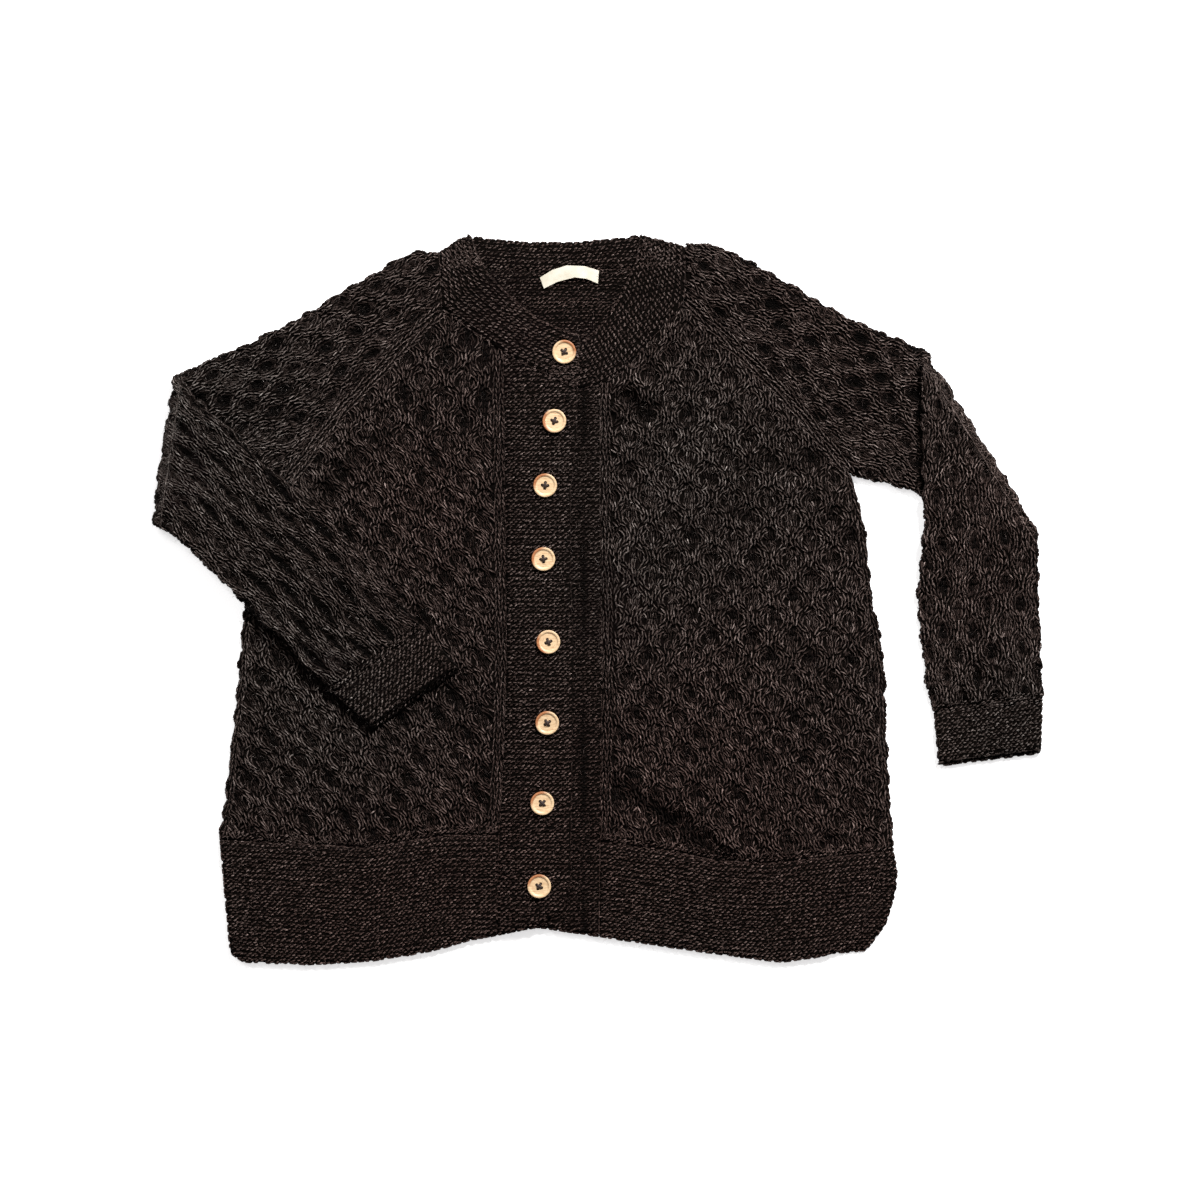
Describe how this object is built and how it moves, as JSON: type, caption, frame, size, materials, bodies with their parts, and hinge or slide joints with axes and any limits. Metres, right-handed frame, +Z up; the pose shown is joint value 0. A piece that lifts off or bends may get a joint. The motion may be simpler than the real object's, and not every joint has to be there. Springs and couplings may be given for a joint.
{
  "type": "cardigan",
  "caption": "Chunky honeycomb-cable wool cardigan with raglan sleeves and wooden buttons, laid flat front up with both sleeves folded.",
  "frame": {"origin": "middle of the laid garment's outline, on the surface that it lies on", "axes": "+Z up off the surface, +Y towards the collar, +X towards the wearer's left side"},
  "size_m": [0.797, 0.656, 0.0172],
  "materials": {
    "knit": "hand-knitted heathered wool, honeycomb cable, slightly fuzzy",
    "garter": "hand-knitted heathered wool, garter stitch",
    "wood": "turned pale wood, satin",
    "label": "plain woven cotton tape"
  },
  "bodies": {
    "root": {"back": "knit", "back_hem": "garter", "right_front": "knit", "left_front": "knit", "right_front_hem": "garter", "left_front_hem": "garter", "buttonhole_band": "garter", "button_band": "garter", "neckband": "garter", "right_sleeve": "knit", "left_sleeve": "knit", "right_cuff": "garter", "left_cuff": "garter", "button_1": "wood", "button_2": "wood", "button_3": "wood", "button_4": "wood", "button_5": "wood", "button_6": "wood", "button_7": "wood", "button_8": "wood", "neck_label": "label"}
  },
  "joints": []
}
